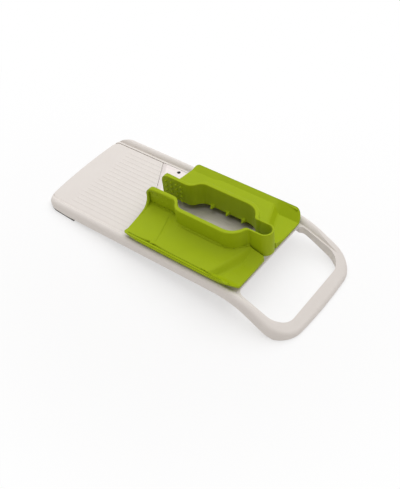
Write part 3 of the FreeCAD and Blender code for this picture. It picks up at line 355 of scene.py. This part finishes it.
def join_pieces(pieces, name):
    """One object out of several."""
    bpy.ops.object.select_all(action="DESELECT")
    for piece in pieces:
        piece.select_set(True)
    bpy.context.view_layer.objects.active = pieces[0]
    if len(pieces) > 1:
        bpy.ops.object.join()
    joined = bpy.context.object
    joined.name = name
    joined.data.name = name
    return joined


def set_down(piece, slot):
    """Bring a finished piece from the tray's millimetres to the frame, smooth it and give it its finish."""
    piece.matrix_world = ON_TRAY
    settle(piece)
    bpy.ops.object.shade_smooth_by_angle(angle=SMOOTH_ANGLE)
    dress(piece, slot)


def spring_band():
    """The thin U between the jaws, drawn as a fixed piece in place of the plain spring loop; on the real grip it
    is one piece with the jaws and bends as the near jaw swings.
    """
    turn = BAND_END - BAND_HALF - BAND_THICK / 2
    height = BAND_TOP - BAND_LOW
    bpy.ops.object.select_all(action="DESELECT")
    middle = (BAND_START, BAND_HALF, BAND_LOW + height / 2)
    bpy.ops.mesh.primitive_plane_add(size=1, location=middle, rotation=(0, QUARTER, 0))
    band = bpy.context.object
    band.scale = (height, BAND_THICK, 1)
    settle(band)
    bpy.ops.object.mode_set(mode="EDIT")
    bpy.ops.mesh.select_all(action="SELECT")
    run = turn - BAND_START
    bpy.ops.mesh.extrude_region_move(TRANSFORM_OT_translate={"value": (run, 0, 0)})
    bpy.ops.mesh.spin(steps=BAND_STEPS, angle=math.pi, center=(turn, 0, 0), axis=(0, 0, 1))
    bpy.ops.mesh.extrude_region_move(TRANSFORM_OT_translate={"value": (-run, 0, 0)})
    bpy.ops.mesh.select_all(action="SELECT")
    bpy.ops.mesh.remove_doubles(threshold=WELD)
    bpy.ops.mesh.normals_make_consistent(inside=False)
    bpy.ops.object.mode_set(mode="OBJECT")
    rim = band.modifiers.new("rim", "BEVEL")
    rim.width = BAND_ROUND
    rim.segments = 3
    rim.limit_method = "ANGLE"
    rim.angle_limit = RIM_ANGLE
    bpy.ops.object.modifier_apply(modifier=rim.name)
    band = join_pieces([band], "spring_band")
    set_down(band, "grip_plastic")
    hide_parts("spring_loop")
    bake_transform(band)


def bead(name, half, points, radius):
    """A round edge along points on one half of the grip."""
    bpy.ops.object.select_all(action="DESELECT")
    bpy.ops.curve.primitive_nurbs_path_add()
    line = bpy.context.object
    line.data.splines.clear()
    spline = line.data.splines.new("NURBS")
    spline.points.add(len(points) - 1)
    for point, (x, y, z) in zip(spline.points, points):
        point.co = (x, HALVES[half] * y, z, 1)
    spline.points[0].radius = BEAD_START
    spline.order_u = 3
    spline.use_endpoint_u = True
    spline.resolution_u = BEAD_STEPS
    line.data.bevel_depth = radius
    line.data.bevel_resolution = BEAD_FINENESS
    line.data.use_fill_caps = True
    bpy.ops.object.convert(target="MESH")
    piece = join_pieces([bpy.context.object], f"{half}_{name}")
    set_down(piece, "grip_plastic")
    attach(piece, f"{half}_half")


def tab_cones(name, half, foot, radius, tip, length, rows, outwards):
    """Rows of blunt cones on one side of the finger tab."""
    bpy.ops.object.select_all(action="DESELECT")
    bpy.ops.mesh.primitive_cone_add(vertices=CONE_SIDES, radius1=radius, radius2=tip, depth=length)
    first = bpy.context.object
    bpy.ops.object.mode_set(mode="EDIT")
    pick(first, faces_up)
    bpy.ops.mesh.bevel(offset=tip / 2, segments=3)
    bpy.ops.object.mode_set(mode="OBJECT")
    way = -HALVES[half] if outwards else HALVES[half]
    first.rotation_euler = (-way * QUARTER, 0, 0)
    settle(first)
    side = HALVES[half] * foot + way * length / 2
    cones = []
    for column in range(CONE_COLUMNS):
        for row in range(rows):
            alone(first)
            bpy.ops.object.duplicate()
            cone = bpy.context.object
            along = CONE_FIRST[0] + column * CONE_PITCH[0]
            height = CONE_FIRST[1] - row * CONE_PITCH[1]
            cone.location = (along, side, height)
            settle(cone)
            cones.append(cone)
    bpy.data.objects.remove(first)
    piece = join_pieces(cones, f"{half}_{name}")
    set_down(piece, "grip_plastic")
    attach(piece, f"{half}_half")


def holding_cones(half):
    """Cones inside the finger tab, over the plain ones, that hold the food."""
    tab_cones("holding_cones", half, CONE_FOOT, CONE_RADIUS, CONE_TIP, CONE_LENGTH, CONE_ROWS, False)


def finger_studs(half):
    """Low studs outside the finger tab."""
    tab_cones("finger_studs", half, STUD_FOOT, STUD_RADIUS, STUD_TIP, STUD_LENGTH, STUD_ROWS, True)


def wing_heel(half):
    """Flare from the wing's back panel up to the foot of the spring band."""
    bpy.ops.object.select_all(action="DESELECT")
    bpy.ops.mesh.primitive_grid_add(x_subdivisions=HEEL_STEPS, y_subdivisions=HEEL_STEPS, size=1)
    heel = bpy.context.object
    for vertex in heel.data.vertices:
        along = vertex.co.x + 0.5
        out = vertex.co.y + 0.5
        top = HEEL_TOP[0] + along * (HEEL_TOP[1] - HEEL_TOP[0])
        x = HEEL_X[0] + along * (HEEL_X[1] - HEEL_X[0])
        y = HEEL_Y[0] + out * (HEEL_Y[1] - HEEL_Y[0])
        vertex.co = (x, -HALVES[half] * y, HEEL_FLAT + (top - HEEL_FLAT) * (1 - out) ** 2)
    bpy.ops.object.mode_set(mode="EDIT")
    bpy.ops.mesh.select_all(action="SELECT")
    bpy.ops.mesh.extrude_region_move(TRANSFORM_OT_translate={"value": (0, 0, -HEEL_THICK)})
    bpy.ops.transform.resize(value=(1, 1, 0), center_override=(0, 0, HEEL_FLAT - HEEL_THICK))
    bpy.ops.mesh.select_all(action="SELECT")
    bpy.ops.mesh.normals_make_consistent(inside=False)
    bpy.ops.object.mode_set(mode="OBJECT")
    piece = join_pieces([heel], f"{half}_wing_heel")
    set_down(piece, "grip_plastic")
    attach(piece, f"{half}_half")


def groove_cutter(line, width, heading):
    """A bar along points on the near wing, with its underside at the groove's floor."""
    start = Vector(line[0]) + Vector((0, 0, GROOVE_ROOM / 2))
    bpy.ops.object.select_all(action="DESELECT")
    bpy.ops.mesh.primitive_plane_add(size=1, location=start, rotation=(0, QUARTER, heading))
    bar = bpy.context.object
    bar.scale = (GROOVE_ROOM, width, 1)
    settle(bar)
    bpy.ops.object.mode_set(mode="EDIT")
    bpy.ops.mesh.select_all(action="SELECT")
    for here, there in zip(line, line[1:]):
        bpy.ops.mesh.extrude_region_move(TRANSFORM_OT_translate={"value": Vector(there) - Vector(here)})
    bpy.ops.mesh.select_all(action="SELECT")
    bpy.ops.mesh.normals_make_consistent(inside=False)
    bpy.ops.object.mode_set(mode="OBJECT")
    bar.matrix_world = ON_TRAY
    settle(bar)
    return bar


def crease_line(wing):
    """Points just under the wing's top, from the jaw's foot to the guard."""
    down = ON_TRAY.to_3x3() @ Vector((0, 0, -1))
    line = []
    for step in range(CREASE_STEPS + 1):
        place = CREASE_START.lerp(CREASE_END, step / CREASE_STEPS)
        point = wing.ray_cast(ON_TRAY @ (place + ABOVE_WING), down)[1]
        top = (ON_TRAY.inverted() @ point).z
        line.append((place.x, place.y, top - CREASE_DEPTH))
    return line


def grooved_wing():
    """The near wing with the fine groove inside its rim and the crease across its front."""
    wing = bpy.data.objects.new("near_wing_grooved", NODES["near_wing"].data.copy())
    bpy.context.scene.collection.objects.link(wing)
    alone(wing)
    bpy.ops.object.mode_set(mode="EDIT")
    bpy.ops.mesh.select_all(action="SELECT")
    bpy.ops.mesh.remove_doubles(threshold=WING_WELD)
    bpy.ops.object.mode_set(mode="OBJECT")
    crease = crease_line(wing)
    bars = [groove_cutter(RIM_GROOVE, GROOVE_WIDTH, 0), groove_cutter(crease, CREASE_WIDTH, -QUARTER)]
    for bar in bars:
        alone(wing)
        groove = wing.modifiers.new("groove", "BOOLEAN")
        groove.operation = "DIFFERENCE"
        groove.object = bar
        bpy.ops.object.modifier_apply(modifier=groove.name)
        bpy.data.objects.remove(bar)
    alone(wing)
    bpy.ops.object.shade_smooth_by_angle(angle=WING_SMOOTH_ANGLE)
    even = wing.modifiers.new("even", "WEIGHTED_NORMAL")
    even.keep_sharp = True
    bpy.ops.object.modifier_apply(modifier=even.name)
    dress(wing, "grip_plastic")
    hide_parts("near_wing")
    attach(wing, "near_half")


def cross_cutter():
    """Two crossed wedges, for the drive in a screw head."""
    bars = []
    for turn in (0, QUARTER):
        bpy.ops.object.select_all(action="DESELECT")
        bpy.ops.mesh.primitive_cube_add(size=1, location=(0, 0, -HEAD_HEIGHT), rotation=(0, 0, turn))
        bar = bpy.context.object
        bar.scale = (SLOT_LENGTH, SLOT_WIDTH, 2 * SLOT_DEPTH)
        settle(bar)
        bpy.ops.object.mode_set(mode="EDIT")
        pick(bar, faces_up)
        bpy.ops.transform.resize(value=(SLOT_TAPER, SLOT_TAPER, 1))
        bpy.ops.object.mode_set(mode="OBJECT")
        bars.append(bar)
    return bars


def screw(shank):
    """A screw from below: domed head with a cross drive under its seat at zero, shank above it."""
    bpy.ops.object.select_all(action="DESELECT")
    middle = (0, 0, -HEAD_HEIGHT / 2)
    bpy.ops.mesh.primitive_cylinder_add(
        vertices=HEAD_SIDES, radius=HEAD_RADIUS, depth=HEAD_HEIGHT, location=middle)
    piece = bpy.context.object
    settle(piece)
    bpy.ops.object.mode_set(mode="EDIT")
    pick(piece, faces_up)
    bpy.ops.mesh.inset(thickness=HEAD_RADIUS - SHANK_RADIUS)
    bpy.ops.mesh.extrude_region_move(TRANSFORM_OT_translate={"value": (0, 0, shank)})
    pick(piece, faces_down)
    bpy.ops.mesh.bevel(offset=HEAD_ROUND, segments=4)
    bpy.ops.object.mode_set(mode="OBJECT")
    for bar in cross_cutter():
        alone(piece)
        drive = piece.modifiers.new("drive", "BOOLEAN")
        drive.operation = "DIFFERENCE"
        drive.object = bar
        bpy.ops.object.modifier_apply(modifier=drive.name)
        bpy.data.objects.remove(bar)
    return piece


def screws(name, node, shank, places):
    """Copies of one screw, in place of a node's plain ones."""
    copies = [screw(shank)]
    while len(copies) < len(places):
        alone(copies[0])
        bpy.ops.object.duplicate()
        copies.append(bpy.context.object)
    for copy, place in zip(copies, places):
        copy.location = place
        copy.rotation_euler = (0, 0, place[0])
        settle(copy)
    row = join_pieces(copies, name)
    set_down(row, "fastener_steel")
    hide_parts(node)
    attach(row, "frame")


def dial_numbers():
    """Raised numbers under the dial, one for each step, read against the pointer."""
    numbers = []
    for step in range(DIAL_STEPS):
        bpy.ops.object.select_all(action="DESELECT")
        bpy.ops.object.text_add()
        number = bpy.context.object
        number.data.body = str(step)
        number.data.size = NUMBER_SIZE
        number.data.extrude = MARK_RELIEF
        number.data.align_x = "CENTER"
        number.data.align_y = "CENTER"
        bpy.ops.object.convert(target="MESH")
        number = bpy.context.object
        side = READING_SIDE - step * STEP_TURN
        outwards = Vector((math.cos(side), math.sin(side), 0))
        facing_down = Matrix.Rotation(math.pi, 4, "X")
        turned = Matrix.Rotation(side + QUARTER, 4, "Z")
        number.matrix_world = Matrix.Translation(DIAL_MIDDLE + NUMBER_RING * outwards) @ turned @ facing_down
        settle(number)
        numbers.append(number)
    ring = join_pieces(numbers, "dial_numbers")
    set_down(ring, "body_plastic")
    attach(ring, "dial")


def dial_pointer():
    """Raised arrow on the bracket's round end."""
    bpy.ops.object.select_all(action="DESELECT")
    middle = (DIAL_MIDDLE.x, DIAL_MIDDLE.y + POINTER_PLACE, POINTER_LOW)
    bpy.ops.mesh.primitive_cylinder_add(
        vertices=3, radius=POINTER_SIZE, depth=2 * MARK_RELIEF, location=middle)
    arrow = bpy.context.object
    settle(arrow)
    bpy.ops.object.mode_set(mode="EDIT")
    pick(arrow, faces_down)
    bpy.ops.mesh.bevel(offset=MARK_RELIEF / 2, segments=2)
    bpy.ops.object.mode_set(mode="OBJECT")
    arrow = join_pieces([arrow], "dial_pointer")
    set_down(arrow, "dial_plastic")
    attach(arrow, "frame")


def table(glow, near, far):
    """White table: it keeps the slicer's shadow, and to the camera it goes over to plain white, from the
    share glow round the slicer to all of it far away."""
    bpy.ops.object.select_all(action="DESELECT")
    bpy.ops.mesh.primitive_plane_add(size=TABLE_SIZE)
    top = bpy.context.object
    top.name = "table_top"
    material, wire, shader = new_finish("table_white")
    shader.inputs["Base Color"].default_value = TABLE_GREY
    shader.inputs["Roughness"].default_value = 0.9
    shader.inputs["Specular IOR Level"].default_value = 0.0
    lit = Wire(wire.tree, shader.outputs[0])
    white = wire.node("ShaderNodeEmission", {}, {"Color": WHITE, "Strength": 1.0})
    place = wire.node("ShaderNodeTexCoord", output="Object")
    away = wire.node("ShaderNodeVectorMath", {"operation": "LENGTH"}, {0: place}, output="Value")
    fading = {"Value": away, "From Min": near, "From Max": far, "To Min": glow, "To Max": 1.0}
    share = wire.node("ShaderNodeMapRange", {"interpolation_type": "SMOOTHSTEP"}, fading)
    shown = wire.node("ShaderNodeMixShader", {}, {0: share * seen(wire), 1: lit, 2: white})
    feed(wire, wire.tree.nodes["Material Output"], "Surface", shown)
    top.data.materials.append(material)


def lamp(name, place, aim, size, power):
    """Square soft light at a place, facing an aim."""
    data = bpy.data.lights.new(name, "AREA")
    data.shape = "SQUARE"
    data.size = size
    data.energy = power
    data.color = COOL
    light = bpy.data.objects.new(name, data)
    light.location = place
    light.rotation_euler = (Vector(aim) - Vector(place)).to_track_quat("-Z", "Y").to_euler()
    bpy.context.scene.collection.objects.link(light)


def surroundings(strength):
    """Even soft light from all round; the camera and shiny surfaces see plain white."""
    world = bpy.data.worlds.new("studio")
    world.use_nodes = True
    bpy.context.scene.world = world
    wire = Wire(world.node_tree)
    backdrop = world.node_tree.nodes["Background"]
    looked_at = seen(wire)
    feed(wire, backdrop, "Color", mix(wire, looked_at, WARM, WHITE))
    feed(wire, backdrop, "Strength", strength + (1 - strength) * looked_at)


def camera():
    """The photograph's view of the slicer."""
    data = bpy.data.cameras.new("camera")
    data.sensor_width = 36
    data.lens = data.sensor_width * FOCAL_LENGTH / PHOTO_HEIGHT
    data.clip_start = 0.01
    data.clip_end = 20
    eye = bpy.data.objects.new("camera", data)
    eye.location = CAMERA_PLACE
    eye.rotation_euler = (CAMERA_AIM - CAMERA_PLACE).to_track_quat("-Z", "Y").to_euler()
    bpy.context.scene.collection.objects.link(eye)
    bpy.context.scene.camera = eye


spring_band()
for half in HALVES:
    bead("tab_bead", half, TAB_BEAD, TAB_BEAD_RADIUS)
    bead("collar_bead", half, COLLAR_BEAD, COLLAR_BEAD_RADIUS)
    bead("edge_lip", half, EDGE_LIP, EDGE_LIP_RADIUS)
    holding_cones(half)
    finger_studs(half)
    wing_heel(half)
grooved_wing()
screws("bed_screw_set", "bed_screws", BED_SCREW_SHANK, BED_SCREWS)
screws("bracket_screw_set", "bracket_screws", BRACKET_SCREW_SHANK, BRACKET_SCREWS)
dial_numbers()
dial_pointer()
table(glow=0.55, near=0.12, far=0.4)
surroundings(strength=0.52)
lamp("softbox", place=(-0.2, 0.45, 1.35), aim=(0, 0, 0), size=2.0, power=18)
camera()
bpy.context.scene.view_settings.view_transform = "Standard"
